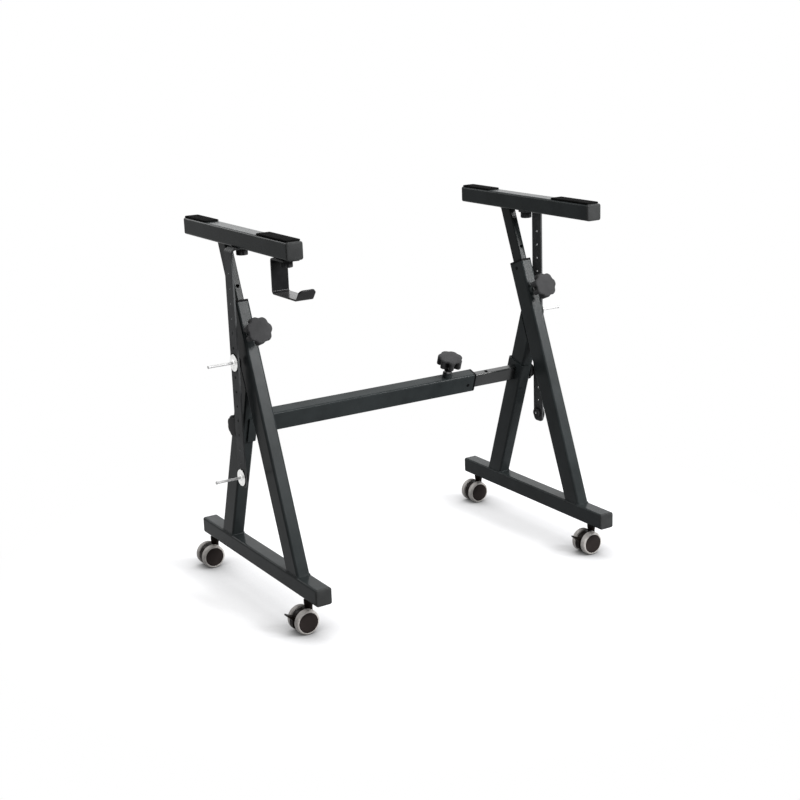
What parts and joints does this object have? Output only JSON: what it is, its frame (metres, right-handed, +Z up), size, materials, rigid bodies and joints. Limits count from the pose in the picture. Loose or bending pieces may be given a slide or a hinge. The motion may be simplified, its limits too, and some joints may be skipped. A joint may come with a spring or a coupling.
{
  "type": "z keyboard stand",
  "caption": "Rolling Z keyboard stand: leaning A-frame sides on twin-wheel casters, telescoping crossbar, padded rails on telescoping legs, hanging bars and a headphone hook.",
  "frame": {"origin": "on the floor, under the middle of the stand's overall box", "axes": "+X across the stand to the player's right, +Y to the back, +Z up; the player stands on the -Y side"},
  "size_m": [0.76, 0.45, 0.6683],
  "materials": {
    "frame_steel": "black powder coat, satin",
    "inner_steel": "black powder coat, a little smoother than the outer tubes",
    "hook_steel": "gloss black",
    "end_cap": "moulded black plastic",
    "bush": "moulded black plastic",
    "pad": "matte foam rubber",
    "knob": "moulded black plastic, fine texture",
    "zinc": "bright zinc plate",
    "caster_hood": "moulded black nylon",
    "caster_wheel": "warm grey soft tread with a dark hub"
  },
  "bodies": {
    "left_frame": {"left_foot": "frame_steel", "left_foot_cap_front": "end_cap", "left_foot_cap_rear": "end_cap", "left_front_leg": "frame_steel", "left_leg_bush": "bush", "left_rear_leg": "frame_steel", "left_clamp_bracket": "frame_steel", "crossbar_outer": "frame_steel", "crossbar_bush": "bush"},
    "right_frame": {"right_foot": "frame_steel", "right_foot_cap_front": "end_cap", "right_foot_cap_rear": "end_cap", "right_front_leg": "frame_steel", "right_leg_bush": "bush", "right_rear_leg": "frame_steel", "right_clamp_bracket": "frame_steel", "crossbar_inner": "inner_steel"},
    "left_rail": {"left_inner_leg": "inner_steel", "left_rail": "frame_steel", "left_rail_cap_front": "end_cap", "left_rail_cap_rear": "end_cap", "left_pad_front": "pad", "left_pad_rear": "pad", "left_hanger_bar": "frame_steel", "left_peg_lower": "zinc", "left_peg_upper": "zinc", "left_peg_nut_lower": "knob", "left_peg_nut_upper": "knob", "hook": "hook_steel"},
    "right_rail": {"right_inner_leg": "inner_steel", "right_rail": "frame_steel", "right_rail_cap_front": "end_cap", "right_rail_cap_rear": "end_cap", "right_pad_front": "pad", "right_pad_rear": "pad", "right_hanger_bar": "frame_steel", "right_peg_lower": "zinc", "right_peg_upper": "zinc", "right_peg_nut_lower": "knob", "right_peg_nut_upper": "knob"},
    "left_leg_knob": {"left_leg_knob": "knob"},
    "right_leg_knob": {"right_leg_knob": "knob"},
    "left_clamp_knob": {"left_clamp_knob": "knob"},
    "right_clamp_knob": {"right_clamp_knob": "knob"},
    "crossbar_knob": {"crossbar_knob": "knob"},
    "left_hanger_knob": {"left_hanger_knob": "knob"},
    "right_hanger_knob": {"right_hanger_knob": "knob"},
    "hook_knob": {"hook_knob": "knob"},
    "left_front_caster": {"left_front_caster_hood": "caster_hood"},
    "left_front_wheels": {"left_front_caster_wheels": "caster_wheel"},
    "left_front_brake": {"left_front_brake_lever": "caster_hood"},
    "left_rear_caster": {"left_rear_caster_hood": "caster_hood"},
    "left_rear_wheels": {"left_rear_caster_wheels": "caster_wheel"},
    "right_front_caster": {"right_front_caster_hood": "caster_hood"},
    "right_front_wheels": {"right_front_caster_wheels": "caster_wheel"},
    "right_front_brake": {"right_front_brake_lever": "caster_hood"},
    "right_rear_caster": {"right_rear_caster_hood": "caster_hood"},
    "right_rear_wheels": {"right_rear_caster_wheels": "caster_wheel"}
  },
  "joints": [
    {"name": "width_slide", "type": "slide", "parent": "left_frame", "child": "right_frame", "axis": [1, 0, 0], "range_m": [-0.09, 0.25]},
    {"name": "left_height_slide", "type": "slide", "parent": "left_frame", "child": "left_rail", "axis": [0, 0.36, 0.933], "range_m": [-0.09, 0.055]},
    {"name": "right_height_slide", "type": "slide", "parent": "right_frame", "child": "right_rail", "axis": [0, 0.36, 0.933], "range_m": [-0.09, 0.055]},
    {"name": "left_leg_knob_turn", "type": "hinge", "parent": "left_frame", "child": "left_leg_knob", "pos_m": [-0.3025, -0.00362, 0.48344], "axis": [0, -0.933, 0.36], "continuous": true},
    {"name": "right_leg_knob_turn", "type": "hinge", "parent": "right_frame", "child": "right_leg_knob", "pos_m": [0.3025, -0.00362, 0.48344], "axis": [0, -0.933, 0.36], "continuous": true},
    {"name": "left_clamp_knob_turn", "type": "hinge", "parent": "left_frame", "child": "left_clamp_knob", "pos_m": [-0.315, 0.04491, 0.3135], "axis": [-1, 0, 0], "continuous": true},
    {"name": "right_clamp_knob_turn", "type": "hinge", "parent": "right_frame", "child": "right_clamp_knob", "pos_m": [0.315, 0.04491, 0.3135], "axis": [1, 0, 0], "continuous": true},
    {"name": "crossbar_knob_turn", "type": "hinge", "parent": "left_frame", "child": "crossbar_knob", "pos_m": [0.1266, 0.0388, 0.33148], "axis": [0, -0.3223, 0.9466], "continuous": true},
    {"name": "left_hanger_knob_turn", "type": "hinge", "parent": "left_rail", "child": "left_hanger_knob", "pos_m": [-0.3025, 0.008, 0.63], "axis": [0, 0, 1], "continuous": true},
    {"name": "right_hanger_knob_turn", "type": "hinge", "parent": "right_rail", "child": "right_hanger_knob", "pos_m": [0.3025, 0.017, 0.63], "axis": [0, 0, 1], "continuous": true},
    {"name": "hook_knob_turn", "type": "hinge", "parent": "left_rail", "child": "hook_knob", "pos_m": [-0.3025, -0.155, 0.63], "axis": [0, 0, 1], "continuous": true},
    {"name": "left_front_swivel", "type": "hinge", "parent": "left_frame", "child": "left_front_caster", "pos_m": [-0.3065, -0.174, 0.055], "axis": [0, 0, 1], "continuous": true},
    {"name": "left_front_wheel_spin", "type": "hinge", "parent": "left_front_caster", "child": "left_front_wheels", "pos_m": [-0.3175, -0.174, 0.022], "axis": [0, 1, 0], "continuous": true},
    {"name": "left_front_brake_press", "type": "hinge", "parent": "left_front_caster", "child": "left_front_brake", "pos_m": [-0.3175, -0.174, 0.022], "axis": [0, 1, 0], "range_deg": [-15, 0]},
    {"name": "left_rear_swivel", "type": "hinge", "parent": "left_frame", "child": "left_rear_caster", "pos_m": [-0.3065, 0.201, 0.055], "axis": [0, 0, 1], "continuous": true},
    {"name": "left_rear_wheel_spin", "type": "hinge", "parent": "left_rear_caster", "child": "left_rear_wheels", "pos_m": [-0.3175, 0.201, 0.022], "axis": [0, 1, 0], "continuous": true},
    {"name": "right_front_swivel", "type": "hinge", "parent": "right_frame", "child": "right_front_caster", "pos_m": [0.3065, -0.174, 0.055], "axis": [0, 0, 1], "continuous": true},
    {"name": "right_front_wheel_spin", "type": "hinge", "parent": "right_front_caster", "child": "right_front_wheels", "pos_m": [0.2955, -0.174, 0.022], "axis": [0, 1, 0], "continuous": true},
    {"name": "right_front_brake_press", "type": "hinge", "parent": "right_front_caster", "child": "right_front_brake", "pos_m": [0.2955, -0.174, 0.022], "axis": [0, 1, 0], "range_deg": [-15, 0]},
    {"name": "right_rear_swivel", "type": "hinge", "parent": "right_frame", "child": "right_rear_caster", "pos_m": [0.3065, 0.201, 0.055], "axis": [0, 0, 1], "continuous": true},
    {"name": "right_rear_wheel_spin", "type": "hinge", "parent": "right_rear_caster", "child": "right_rear_wheels", "pos_m": [0.2955, 0.201, 0.022], "axis": [0, 1, 0], "continuous": true}
  ]
}
